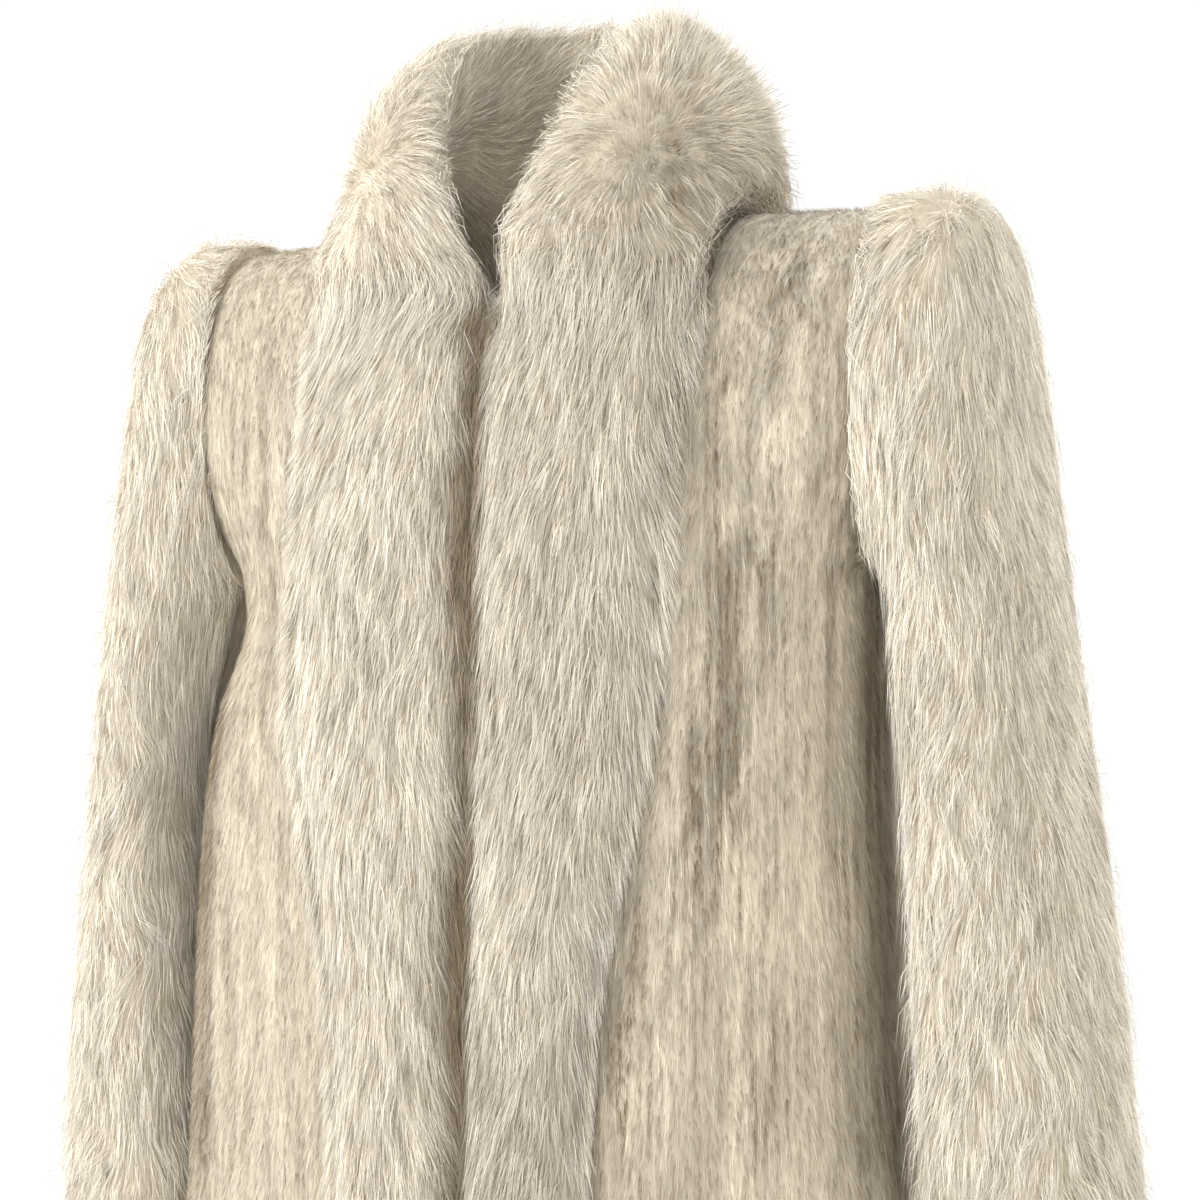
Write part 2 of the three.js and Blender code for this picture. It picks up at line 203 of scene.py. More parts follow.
def pelt_material(name, colour, dark, light, sheen, streak):
    """Dense underfur: soft colour patches, fine streaks down the piece and a napped relief; attribute
    hair darkens it, with the fur's own darker places and painted shade
    """
    material = bpy.data.materials.new(name)
    material.use_nodes = True
    nodes = material.node_tree.nodes
    link = material.node_tree.links.new
    shader = nodes["Principled BSDF"]
    shader.inputs["Roughness"].default_value = 0.85
    shader.inputs["Specular IOR Level"].default_value = 0.2
    shader.inputs["Sheen Weight"].default_value = sheen
    shader.inputs["Sheen Roughness"].default_value = 0.5
    place = nodes.new("ShaderNodeTexCoord")
    stretch = nodes.new("ShaderNodeMapping")
    stretch.inputs["Scale"].default_value = (1, 1, streak)
    link(place.outputs["Object"], stretch.inputs["Vector"])
    fine = nodes.new("ShaderNodeTexNoise")
    fine.inputs["Scale"].default_value = 420
    fine.inputs["Detail"].default_value = 3
    link(stretch.outputs["Vector"], fine.inputs["Vector"])
    patches = nodes.new("ShaderNodeTexNoise")
    patches.inputs["Scale"].default_value = 26
    patches.inputs["Detail"].default_value = 4
    link(stretch.outputs["Vector"], patches.inputs["Vector"])
    ramp = nodes.new("ShaderNodeValToRGB")
    ramp.color_ramp.elements[0].position = 0.3
    ramp.color_ramp.elements[0].color = dark
    ramp.color_ramp.elements[1].position = 0.7
    ramp.color_ramp.elements[1].color = light
    middle = ramp.color_ramp.elements.new(0.5)
    middle.color = colour
    link(patches.outputs["Fac"], ramp.inputs["Fac"])
    shade = nodes.new("ShaderNodeMapRange")
    shade.inputs["To Min"].default_value = 0.72
    shade.inputs["To Max"].default_value = 1.2
    link(fine.outputs["Fac"], shade.inputs["Value"])
    tone = nodes.new("ShaderNodeAttribute")
    tone.attribute_name = "hair"
    parts = nodes.new("ShaderNodeSeparateColor")
    link(tone.outputs["Color"], parts.inputs["Color"])
    # Blue of attribute hair darkens the underfur: the fur's own dark places and painted shade
    darker = nodes.new("ShaderNodeMapRange")
    darker.inputs["To Min"].default_value = 1.0
    darker.inputs["To Max"].default_value = 0.45
    link(parts.outputs["Blue"], darker.inputs["Value"])
    both = nodes.new("ShaderNodeMath")
    both.operation = "MULTIPLY"
    link(shade.outputs["Result"], both.inputs[0])
    link(darker.outputs["Result"], both.inputs[1])
    tinted = nodes.new("ShaderNodeVectorMath")
    tinted.operation = "SCALE"
    link(ramp.outputs["Color"], tinted.inputs[0])
    link(both.outputs["Value"], tinted.inputs["Scale"])
    link(tinted.outputs["Vector"], shader.inputs["Base Color"])
    relief = nodes.new("ShaderNodeBump")
    relief.inputs["Strength"].default_value = 0.6
    relief.inputs["Distance"].default_value = 0.002
    link(fine.outputs["Fac"], relief.inputs["Height"])
    link(relief.outputs["Normal"], shader.inputs["Normal"])
    return material


def hair_material(name, root, middle, tip, patch_and_shade, sheen):
    """Guard hair: attribute hair holds, for each point, how far along the hair it lies, the tint
    of its lock and how dark the fur is there, from its own darker places and painted shade"""
    material = bpy.data.materials.new(name)
    material.use_nodes = True
    nodes = material.node_tree.nodes
    link = material.node_tree.links.new
    shader = nodes["Principled BSDF"]
    shader.inputs["Roughness"].default_value = 0.55
    shader.inputs["Specular IOR Level"].default_value = 0.35
    shader.inputs["Sheen Weight"].default_value = sheen
    shader.inputs["Sheen Roughness"].default_value = 0.45
    tone = nodes.new("ShaderNodeAttribute")
    tone.attribute_name = "hair"
    parts = nodes.new("ShaderNodeSeparateColor")
    link(tone.outputs["Color"], parts.inputs["Color"])
    ramp = nodes.new("ShaderNodeValToRGB")
    ramp.color_ramp.elements[0].color = root
    ramp.color_ramp.elements[1].color = tip
    half = ramp.color_ramp.elements.new(0.5)
    half.color = middle
    link(parts.outputs["Red"], ramp.inputs["Fac"])
    # Blue mixes in the darker colour: the fur's own dark places and painted shade
    darker = nodes.new("ShaderNodeMix")
    darker.data_type = "RGBA"
    darker.blend_type = "MULTIPLY"
    # Sockets of a node that mixes colours
    first_colour, second_colour, mixed_colour = 6, 7, 2
    link(ramp.outputs["Color"], darker.inputs[first_colour])
    darker.inputs[second_colour].default_value = patch_and_shade
    link(parts.outputs["Blue"], darker.inputs["Factor"])
    lock = nodes.new("ShaderNodeMapRange")
    lock.inputs["To Min"].default_value = 0.62
    lock.inputs["To Max"].default_value = 1.24
    link(parts.outputs["Green"], lock.inputs["Value"])
    tinted = nodes.new("ShaderNodeVectorMath")
    tinted.operation = "SCALE"
    link(darker.outputs[mixed_colour], tinted.inputs[0])
    link(lock.outputs["Result"], tinted.inputs["Scale"])
    link(tinted.outputs["Vector"], shader.inputs["Base Color"])
    return material


def satin_material(name, colour):
    """Lining satin on the inside of the coat"""
    material = bpy.data.materials.new(name)
    material.use_nodes = True
    nodes = material.node_tree.nodes
    link = material.node_tree.links.new
    shader = nodes["Principled BSDF"]
    shader.inputs["Roughness"].default_value = 0.35
    shader.inputs["Sheen Weight"].default_value = 0.2
    place = nodes.new("ShaderNodeTexCoord")
    weave = nodes.new("ShaderNodeTexNoise")
    weave.inputs["Scale"].default_value = 900
    link(place.outputs["Object"], weave.inputs["Vector"])
    ramp = nodes.new("ShaderNodeValToRGB")
    shadow = 0.8
    ramp.color_ramp.elements[0].color = [part * shadow for part in colour[:3]] + [1]
    ramp.color_ramp.elements[1].color = colour
    link(weave.outputs["Fac"], ramp.inputs["Fac"])
    link(ramp.outputs["Color"], shader.inputs["Base Color"])
    return material


def sheet_wall(name, sheet, low, high, steps_across, steps_up, tone, materials):
    """A closed wall of skin between two shares of the pile: two grids laid on the sheet's form and
    bridged at their rims. The grid at the low share is the inside."""
    bm = bmesh.new()
    rims = []
    grids = []
    for share in (low, high):
        made = bmesh.ops.create_grid(bm, x_segments=steps_across, y_segments=steps_up, size=0.5)["verts"]
        flat = np.array([(v.co.x + 0.5, v.co.y + 0.5) for v in made])
        places = sheet(flat[:, 0], flat[:, 1], np.full(len(flat), float(share)))
        for vertex, place in zip(made, places):
            vertex.co = Vector(place)
        grids.append(set(made))
        mine = set(made)
        rims.append([e for e in bm.edges if e.is_boundary and e.verts[0] in mine])
    inside = grids[0]
    for face in bm.faces:
        face.material_index = 1 if len(materials) > 1 and face.verts[0] in inside else 0
    bmesh.ops.bridge_loops(bm, edges=rims[0] + rims[1])
    for face in bm.faces:
        face.smooth = True
    bmesh.ops.recalc_face_normals(bm, faces=bm.faces)
    mesh = bpy.data.meshes.new(name)
    bm.to_mesh(mesh)
    bm.free()
    count = len(mesh.vertices)
    places = np.empty(count * 3)
    mesh.vertices.foreach_get("co", places)
    places = places.reshape(-1, 3)
    colours = np.ones((count, 4))
    colours[:, 2] = tone(places)
    mesh.attributes.new("hair", "FLOAT_COLOR", "POINT").data.foreach_set("color", colours.ravel())
    for material in materials:
        mesh.materials.append(material)
    piece = bpy.data.objects.new(name, mesh)
    bpy.context.scene.collection.objects.link(piece)
    return piece


def past_edges(sheet):
    """The sheet carried straight on past its edges, for hair that hangs over them"""
    step = 0.01

    def longer(across, up, share):
        a = np.clip(across, 0, 1)
        u = np.clip(up, 0, 1)
        here = sheet(a, u, share)
        past = np.flatnonzero(a != across)
        turn = np.where(across[past] < 0, -step, step)
        slope = (here[past] - sheet(a[past] - turn, u[past], share[past])) / turn[:, None]
        here[past] += slope * (across - a)[past, None]
        past = np.flatnonzero(u != up)
        turn = np.where(up[past] < 0, -step, step)
        slope = (sheet(a[past], u[past], share[past]) - sheet(a[past], u[past] - turn, share[past]))
        here[past] += slope / turn[:, None] * (up - u)[past, None]
        return here
    return longer


def waves(places, seed, short, long, count=14):
    """Smooth uneven waves over the coat, between about -1 and 1, drawn out down the coat"""
    rng = np.random.default_rng(seed)
    total = np.zeros(len(places))
    for _ in range(count):
        turn = rng.uniform(0, math.tau)
        pace = rng.uniform(0.6, 1.7)
        flat = (places[:, 0] * math.cos(turn) + places[:, 1] * math.sin(turn)) * math.tau / short
        down = places[:, 2] * math.tau / long * rng.choice((-1, 1))
        total += np.sin((flat + down) * pace + rng.uniform(0, math.tau))
    return total / math.sqrt(count / 2)


def unit(vectors):
    return vectors / np.maximum(np.linalg.norm(vectors, axis=-1, keepdims=True), 1e-9)


def lay_hair(name, sheet, longer, count, seed, hair, flow, tone, material):
    """Hair over a sheet, as one mesh of thin tapered ribbons. Each starts in the underfur, rises
    and leans over along flow, and the hairs of a lock draw together towards their tips. Longer is
    the sheet carried on past its edges."""
    rng = np.random.default_rng(seed)

    # Roots, spread evenly over the area
    columns, rows = 60, 120
    a, u = np.meshgrid((np.arange(columns) + 0.5) / columns, (np.arange(rows) + 0.5) / rows)
    a, u = a.ravel(), u.ravel()
    pile_share = np.full(len(a), 0.7)
    reach = 0.4
    over = sheet(a + reach / columns, u, pile_share) - sheet(a - reach / columns, u, pile_share)
    along = sheet(a, u + reach / rows, pile_share) - sheet(a, u - reach / rows, pile_share)
    area = np.linalg.norm(np.cross(over, along), axis=1)
    cells = rng.choice(len(a), count, p=area / area.sum())
    across = a[cells] + (rng.random(count) - 0.5) / columns
    up = u[cells] + (rng.random(count) - 0.5) / rows
    step = 0.004
    pile_share = np.full(count, 0.8)
    over = longer(across + step, up, pile_share) - longer(across - step, up, pile_share)
    along = longer(across, up + step, pile_share) - longer(across, up - step, pile_share)
    over, along = over / (2 * step), along / (2 * step)
    root = longer(across, up, np.full(count, hair["root"]))
    normal = unit(np.cross(over, along))
    outward = longer(across, up, np.ones(count)) - root
    normal *= np.where((normal * outward).sum(1) < 0, -1, 1)[:, None]

    # Locks: each hair joins the nearest of the first few
    locks = max(count // hair["in_lock"], 1)
    tree = kdtree.KDTree(locks)
    for index in range(locks):
        tree.insert(root[index], index)
    tree.balance()
    lock = np.array([tree.find(place)[1] for place in root])

    # Lie: the way that each hair leans over, stirred by waves, and how long it is
    lie = flow(across, up, root, unit(over))
    strong = np.minimum(np.linalg.norm(lie, axis=1), 1)
    lie = lie - normal * (lie * normal).sum(1)[:, None]
    strong *= np.minimum(np.linalg.norm(lie, axis=1) * 4, 1)
    lie = unit(lie)
    wave = hair["wave"]
    angle = wave * waves(root, seed + 1, 0.07, 0.14) + wave * 0.8 * waves(root, seed + 2, 0.02, 0.05)
    angle += rng.normal(0, hair["stray"], locks)[lock] + rng.normal(0, hair["stray"], count)
    lie = lie * np.cos(angle)[:, None] + np.cross(normal, lie) * np.sin(angle)[:, None]
    length = hair["length"] * strong * rng.uniform(0.6, 1.15, count)
    length *= rng.uniform(0.85, 1.1, locks)[lock]

    # Tips: the place on the sheet that a hair of that length reaches
    wide_way = (over * over).sum(1)
    long_way = (along * along).sum(1)
    skew = (over * along).sum(1)
    size = np.maximum(wide_way * long_way - skew * skew, 1e-5) / length
    to_side = (lie * over).sum(1)
    to_end = (lie * along).sum(1)
    farthest = 0.3
    step_a = np.clip((to_side * long_way - to_end * skew) / size, -farthest, farthest)
    step_u = np.clip((to_end * wide_way - to_side * skew) / size, -farthest, farthest)
    past = hair["past"]
    slack = rng.uniform(0.3, 1, count)
    end_a = np.clip(across + step_a, -past[0] * slack, 1 + past[1] * slack)
    end_u = np.clip(up + step_u, -past[2] * slack, 1 + past[3] * slack)
    tip_share = rng.uniform(hair["tip"][0], hair["tip"][1], count)
    loose = rng.random(count) < hair["loose"]
    tip_share[loose] += rng.uniform(0.3, 1, loose.sum()) * hair["stand"]
    tip = longer(end_a, end_u, tip_share)
    pull = rng.uniform(0.2, 0.85, count) * hair["draw"]
    pull[loose] = 0
    tip += (tip[lock] - tip) * pull[:, None]
    points = [root, tip]
    widths = [hair["wide"] * 0.75, 0]
    alongs = [0.0, 1.0]
    loops = np.array([[0, 1, 2]])
    if hair["bends"]:
        bend_at, bend_rise, bend_pull = 0.38, 0.88, 0.4
        middle = longer(mix(across, end_a, bend_at), mix(up, end_u, bend_at), tip_share * bend_rise)
        middle += (middle[lock] - middle) * (pull * bend_pull)[:, None]
        points = [root, middle, tip]
        widths = [0, hair["wide"], 0]
        alongs = [0.0, 0.5, 1.0]
        loops = np.array([[0, 1, 2, 1, 3, 2]])

    # Ribbons: most lie about flat on the fur, and some are turned on edge
    lean = unit(tip - root)
    flat = unit(np.cross(lean, normal))
    turned_on_edge = 0.25
    roll = rng.normal(0, 0.55, count)
    wild = rng.random(count) < turned_on_edge
    roll[wild] = rng.uniform(-1.5, 1.5, wild.sum())
    across_hair = flat * np.cos(roll)[:, None] + np.cross(lean, flat) * np.sin(roll)[:, None]
    fat = rng.uniform(0.6, 1.3, count)[:, None]
    fat[loose] *= 0.7
    corners = []
    lengthwise = []
    for point, width, share in zip(points, widths, alongs):
        if width:
            corners += [point - across_hair * fat * width / 2, point + across_hair * fat * width / 2]
            lengthwise += [share, share]
        else:
            corners.append(point)
            lengthwise.append(share)
    each = len(corners)
    places = np.stack(corners, 1).reshape(-1, 3)
    first = np.arange(count)[:, None] * each
    corner_index = (first + loops).ravel()
    starts = np.arange(0, len(corner_index), 3)
    mesh = bpy.data.meshes.new(name)
    mesh.vertices.add(len(places))
    mesh.vertices.foreach_set("co", places.ravel())
    mesh.loops.add(len(corner_index))
    mesh.loops.foreach_set("vertex_index", corner_index)
    mesh.polygons.add(len(starts))
    mesh.polygons.foreach_set("loop_start", starts)
    mesh.polygons.foreach_set("use_smooth", np.ones(len(starts), bool))
    mesh.update(calc_edges=True)

    # Shade: along the hair, of its lock, and of the fur there, painted shade included
    colours = np.ones((count, each, 4))
    colours[:, :, 0] = np.array(lengthwise)
    tint = 0.5 + rng.normal(0, hair["tint"] / 2, locks)[lock] + rng.normal(0, hair["tint"], count)
    loose_paler = 0.25
    tint[loose] += loose_paler
    colours[:, :, 1] = np.clip(tint, 0, 1)[:, None]
    colours[:, :, 2] = tone(root)[:, None]
    mesh.attributes.new("hair", "FLOAT_COLOR", "POINT").data.foreach_set("color", colours.ravel())
    mesh.materials.append(material)
    piece = bpy.data.objects.new(name, mesh)
    bpy.context.scene.collection.objects.link(piece)
    return piece


mink_pelt = pelt_material(
    "mink underfur", paint(216, 205, 184), paint(208, 196, 174), paint(223, 213, 194), 0.3, 0.06
)
mink_hair = hair_material(
    "mink guard hair", paint(204, 191, 165), paint(232, 221, 200), paint(247, 240, 224),
    paint(150, 135, 112), 0.25,
)
lining = satin_material("beige lining satin", paint(196, 180, 152))
mink_nap = {
    "length": 0.017, "root": 0.5, "tip": (0.8, 1.06), "wide": 0.00058, "in_lock": 8, "draw": 0.2,
    "wave": 0.04, "stray": 0.04, "bends": False, "past": (0.01, 0.01, 0.008, 0.004), "loose": 0.03,
    "stand": 0.22, "tint": 0.36,
}


def back_tone(places):
    """How dark the mink is: the let-out strips, and fine streaks down them"""
    strips = waves(places, 5, 0.03, 3.0)
    streaks = waves(places, 6, 0.008, 1.6)
    return np.clip(0.28 + 0.12 * strips + 0.14 * streaks, 0, 1)


def hangs_down(across, up, root, over):
    """Nap that runs down the coat, and forwards or back from the shoulder seam"""
    down = np.array([0, 0, -1.0]) + over * (0.06 * np.sin(root[:, 0] * 90))[:, None]
    down[:, 1] += 0.4 * np.sign(root[:, 1]) * ease(root[:, 2], -0.15, -0.07)
    return down


back = sheet_wall("back_pelt", back_sheet, 0, 0.6, 70, 50, back_tone, [mink_pelt, lining])
back_nap = lay_hair(
    "back_nap", back_sheet, past_edges(back_sheet), 85000, 11, mink_nap, hangs_down, back_tone, mink_hair
)
for piece in (back, back_nap):
    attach(piece, "root")
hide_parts("back")

# Mink fronts
# Two pieces of let-out mink strips, each from the fox band to the side seam and the armhole.
# They hang from the shoulder seams and fall in two soft folds a side.
front_folds = {
    "top_x": (176, 205, -178, -206),
    "hem_x": (150, 214, -165, -222),
    "top_z": (-90, -300, -120, -330),
    "depth": (12, 12, 11, 12),
    "half_wide": (17, 20, 18, 19),
}
band_reach = {
    "z": (-1050, -700, -600, -520, -430, -330, -260, -190, -120, -60, 20),
    "left": (84, 85, 86, 90, 106, 121, 128, 132, 139, 145, 148),
    "right": (96, 99, 101, 109, 127, 149, 153, 144, 139, 143, 148),
}


def around_at(side, x, up, pile):
    """The share around the front at which the body lies x from the centre line"""
    wide = np.abs(body_form(-1, side, np.ones_like(up), up, pile, None)[..., 0]) * 1000
    return np.arcsin(np.minimum(x / wide, 1) ** (body_round / 2)) / (math.pi / 2)


def front_sheet(side):
    """A front, from the band at 0 across to the side seam at 1"""
    word = "left" if side > 0 else "right"

    def sheet(across, up, share):
        pile = share * mink_pile
        z = body_form(-1, side, np.full_like(up, 0.5), up, pile, None)[..., 2] * 1000
        edge = at_height(band_reach, word, z) + seam_gap
        around = mix(around_at(side, edge, up, pile), 1, across)
        return body_form(-1, side, around, up, pile, front_folds)
    return sheet


def spot(places, x, z, wide, high):
    return np.exp(-(((places[:, 0] - x) / wide) ** 2) - ((places[:, 2] - z) / high) ** 2)


def under_arm_shade(places):
    """Painted shade: darker mink beside the sleeve, where sleeve and body meet"""
    # Painted shade in the gap beside the sleeve, below the armhole
    beside = ease(np.abs(places[:, 0]), 0.215, 0.245) * ease(places[:, 1], -0.115, -0.085)
    return 0.45 * beside * ease(-places[:, 2], 0.25, 0.32) * ease(places[:, 2], -0.75, -0.6)


def left_front_tone_and_shade(places):
    """Brown streaks down the let-out strips, darker towards the shoulder, and painted shade in the folds
    beside the band, under the collar's edge and beside the sleeve
    """
    strips = waves(places, 21, 0.03, 3.0)
    streaks = waves(places, 22, 0.008, 1.6)
    dark = 0.2 + 0.1 * strips + 0.18 * streaks + 0.24 * ease(places[:, 2], -0.35, -0.1)
    # Painted shade: dark spots in the fold valleys, under the collar's edge at the top and beside the
    # sleeve, broken up by the streaks
    for x, z, wide, high, more in (
        (0.195, -0.06, 0.016, 0.05, 0.4), (0.183, -0.24, 0.012, 0.07, 0.35),
        (0.166, -0.33, 0.014, 0.08, 0.4), (0.15, -0.42, 0.018, 0.08, 0.55),
        (0.11, -0.57, 0.016, 0.09, 0.4), (0.237, -0.28, 0.008, 0.15, 0.3),
        (0.19, -0.62, 0.014, 0.12, 0.3), (0.16, -0.85, 0.018, 0.14, 0.35),
    ):
        dark += more * (1 + 0.5 * streaks) * spot(places, x, z, wide, high)
    return np.clip(dark + under_arm_shade(places), 0, 1)


def right_front_tone_and_shade(places):
    # Strips and streaks down the mink, darker towards the shoulder, and painted shade beside the sleeve
    strips = waves(places, 31, 0.034, 3.0)
    streaks = waves(places, 32, 0.008, 1.6)
    dark = 0.24 + 0.08 * strips + 0.16 * streaks + 0.1 * ease(places[:, 2], -0.35, -0.1)
    return np.clip(dark + under_arm_shade(places), 0, 1)


for side, word, tone in ((1, "left", left_front_tone_and_shade), (-1, "right", right_front_tone_and_shade)):
    sheet = front_sheet(side)
    pelt = sheet_wall(f"front_{word}_pelt", sheet, 0, 0.6, 24, 50, tone, [mink_pelt, lining])
    nap = lay_hair(
        f"front_{word}_nap", sheet, past_edges(sheet), 75000, 23 + side, mink_nap, hangs_down, tone,
        mink_hair,
    )
    for piece in (pelt, nap):
        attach(piece, "root")
    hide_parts(f"front_{word}")

# Fox front bands and shawl collar
# A band of long-haired fox is sewn down each front edge. At the neck it runs up into half of a shawl
# collar that stands up, rolls over round the neck and is seamed behind. The collar's skin is folded
# over, so hair stands all round the roll, and the hair of collar and band runs on over their seam.
fox_band_pile = 36
fox_rim_pile = 5
band_top_z = -60
band_crown = 2.6
fox_pelt = pelt_material(
    "fox underfur", paint(206, 194, 172), paint(190, 177, 153), paint(222, 212, 192), 0.3, 0.4
)
fox_hair = hair_material(
    "fox guard hair", paint(189, 176, 151), paint(233, 223, 204), paint(254, 251, 242),
    paint(156, 143, 124), 0.2,
)
fox_long = {
    "length": 0.042, "root": 0.5, "tip": (0.72, 1.06), "wide": 0.0005, "in_lock": 9, "draw": 0.42,
    "wave": 0.08, "stray": 0.09, "bends": True, "past": (0.03, 0.13, 0.012, 0.012), "loose": 0.12,
    "stand": 0.3, "tint": 0.35,
}


def band_sheet(side, crown_end=1.0):
    """Across runs from the front edge to the mink; crown_end below 1 keeps the pile up past them"""
    word = "left" if side > 0 else "right"

    def sheet(across, up, share):
        z = mix(hem_z, band_top_z, up)
        reach = at_height(band_reach, word, z) - seam_gap / 2
        level = np.clip(height_share(z), 0, 1)
        x = mix(seam_gap / 2, reach, across)
        place = body_form(-1, side, around_at(side, np.abs(x), level, 0), level, 0, None)
        off_middle = np.minimum(np.abs(across * 2 - 1), crown_end)
        crown = (1 - off_middle ** np.where(across < 0.5, 2.0, band_crown)) ** 0.6
        place[..., 0] = side * x * 0.001
        place[..., 1] -= share * mix(fox_rim_pile, fox_band_pile, crown) * 0.001
        place[..., 2] = z * 0.001
        return place
    return sheet


def fox_tone_light_and_shade(places):
    """How dark the fox is: tufts and patches at random, and darker at the collar's whorl and at a spot
    on the left band below it; painted shade down the left band and in the groove between the bands,
    and painted light on the sleeves, most on the right sleeve"""
    patches = waves(places, 41, 0.08, 0.3)
    tufts = waves(places, 42, 0.014, 0.05)
    dark = 0.13 + 0.06 * patches + 0.09 * tufts
    # Painted light: the sleeves paler, the right sleeve most
    dark -= 0.12 * ease(-places[:, 0], 0.2, 0.3) + 0.06 * ease(places[:, 0], 0.2, 0.3)
    # Painted shade: the left band darker, more so towards the hem
    left_band_shade = ease(places[:, 0], -0.006, 0.006) * ease(-places[:, 0], -0.2, -0.16)
    dark += left_band_shade * mix(0.1, 0.2, ease(-places[:, 2], 0.3, 0.7)) * ease(-places[:, 2], -0.1, 0.1)
    dark += (0.4 + 0.15 * tufts) * spot(places, 0.122, 0.02, 0.032, 0.035)
    dark += (0.4 + 0.15 * tufts) * spot(places, 0.138, -0.144, 0.016, 0.04)
    # Painted shade in the groove between the bands, below the neck
    groove = np.exp(-((places[:, 0] + 0.006) / 0.012) ** 2) * (places[:, 1] < -0.08)
    return np.clip(dark + 0.95 * groove * ease(-places[:, 2], 0.01, 0.06), 0, 1)


def tousled(away, root, seed, deep):
    """Directions from a whorl, stirred up by short waves"""
    stirs = [waves(root, seed + part, 0.03, 0.03) for part in range(3)]
    return away + np.stack(stirs, -1) * deep


def band_flow(side):
    """Hair that runs down the band and fans out over its outer edge"""
    def flow(across, up, root, over):
        lean = -0.08 if side > 0 else 0.14 * np.tanh((root[:, 2] + 0.34) * 8)
        fan = (across - 0.5) * 0.3 + np.maximum(across * 2 - 1, 0) ** 5 * 0.7
        return np.array([0, 0, -1.0]) + over * (fan + lean)[:, None]
    return flow


# Rows run from the band to the centre back seam. e is the neck edge, g the lower edge, out and under
# are how full the roll is outside and beneath, and face is the way that its outside looks.
collar_rows = {
    "ex": (12, 30, 46, 56, 54, 35, 0), "ey": (-126, -109, -80, -32, 22, 56, 66),
    "ez": (-18, 34, 88, 130, 150, 158, 160), "gx": (152, 154, 153, 145, 118, 68, 0),
    "gy": (-88, -48, -6, 34, 88, 112, 121), "gz": (-26, 4, 12, 6, -26, -60, -72),
    "out": (19, 31, 43, 48, 49, 46, 44), "under": (10, 17, 26, 31, 34, 36, 37),
    "face_x": (0.1, 0.3, 0.6, 0.85, 0.8, 0.42, 0), "face_y": (-1, -0.85, -0.5, -0.1, 0.45, 0.8, 1),
    "face_z": (0.15, 0.45, 0.6, 0.6, 0.5, 0.45, 0.42),
}
outer_share = 0.6
neck_edge_turn = 0.93
neck_edge_crown = 0.93
collar_long = 0.4
collar_packing = 0.28
skin_narrow = 0.72
skin_low = 0.35
band_runs_past = 1.05


def collar_sheet(side):
    """Half the collar: around runs from the neck edge at 0 over the outside to the lower edge, and
    back beneath to the neck edge at 1, and up from the band to the centre back seam"""
    band = band_sheet(side)

    def sheet(around, up, share):
        around = around % 1.0
        place = mix(-1.0, len(collar_rows["ex"]) - 1.0, up)
        row = {name: smooth_value(values, place) for name, values in collar_rows.items()}
        edge = np.stack([row["ex"], row["ey"], row["ez"]], -1)
        low = np.stack([row["gx"], row["gy"], row["gz"]], -1)
        chord = unit(low - edge)
        face = np.stack([row["face_x"], row["face_y"], row["face_z"]], -1)
        face = unit(face - chord * (face * chord).sum(-1)[:, None])
        outside = around <= outer_share
        across = np.where(outside, around / outer_share, 1 - (around - outer_share) / (1 - outer_share))
        back = 1 - across
        bulge = np.where(
            outside, row["out"] * np.sin(math.pi * across ** 0.85) ** 0.6,
            -row["under"] * np.sin(math.pi * back ** 0.8),
        )
        tip = mix(edge, low, across[:, None]) + face * bulge[:, None]
        skin = mix(edge, low, mix(0.5, across, skin_narrow)[:, None]) + face * (bulge * skin_low)[:, None]
        rolled = mix(skin, tip, share[:, None])
        rolled[:, 0] = side * np.maximum(rolled[:, 0], seam_gap / 2)
        top = np.ones_like(up)
        flat = band(across, top, np.where(outside, share, 0)) * 1000
        return mix(flat, rolled, np.clip(place + 1, 0, 1)[:, None]) * 0.001
    return sheet


def collar_rest(around, up):
    """How far the pile at the collar's lower edge sinks until it rests on the coat, in metres"""
    sinks_in_front, sinks_behind = 0.012, 0.018
    lower_edge = ease(around, 0.58, 0.66) * ease(-around, -0.86, -0.72)
    return mix(sinks_in_front, sinks_behind, ease(up, 0.5, 0.75)) * lower_edge * ease(up, 0, 0.1)


def collar_underfur(side):
    """The collar's form for its underfur, which is packed full where the collar rests on the coat;
    the two halves touch behind"""
    sheet = collar_sheet(side)

    def form(around, up, share):
        resting = ease(around, 0.6, 0.66) * ease(-around, -0.88, -0.76)
        place = sheet(around, up, share + (share > 0.5) * collar_packing * resting)
        place[:, 0] -= side * seam_gap / 2 * 0.001
        place[:, 2] -= collar_rest(around, up) * share
        return place
    return form


def collar_over_band(side):
    """The collar's form, going on down over the band below it and past the centre back seam"""
    collar = collar_sheet(side)
    band = band_sheet(side, neck_edge_crown)

    def run(around, up, share):
        place = around % 1.0
        outside = (place <= outer_share) | (place > neck_edge_turn)
        across = np.where(place > neck_edge_turn, (place - 1) / outer_share, place / outer_share)
        across = np.where(outside, across, 1 - (place - outer_share) / (1 - outer_share))
        below = band(across, 1 + np.minimum(up, 0) * collar_long, np.where(outside, share, 0))
        above = collar(around, np.clip(np.where(up > 1, 2 - up, up), 0, 1), share)
        above[:, 0] *= np.where(up > 1, -1, 1)
        form = np.where((up < 0)[:, None], below, above)
        form[:, 2] -= collar_rest(place, up) * share
        return form
    return run


def band_under_collar(side):
    """The band's form, going on up into the collar above it"""
    collar = collar_sheet(side)
    band = band_sheet(side, neck_edge_crown)

    def run(across, up, share):
        up = up * band_runs_past
        above = collar(across * outer_share, np.maximum(up - 1, 0) / collar_long, share)
        return np.where((up > 1)[:, None], above, band(across, np.minimum(up, 1), share))
    return run


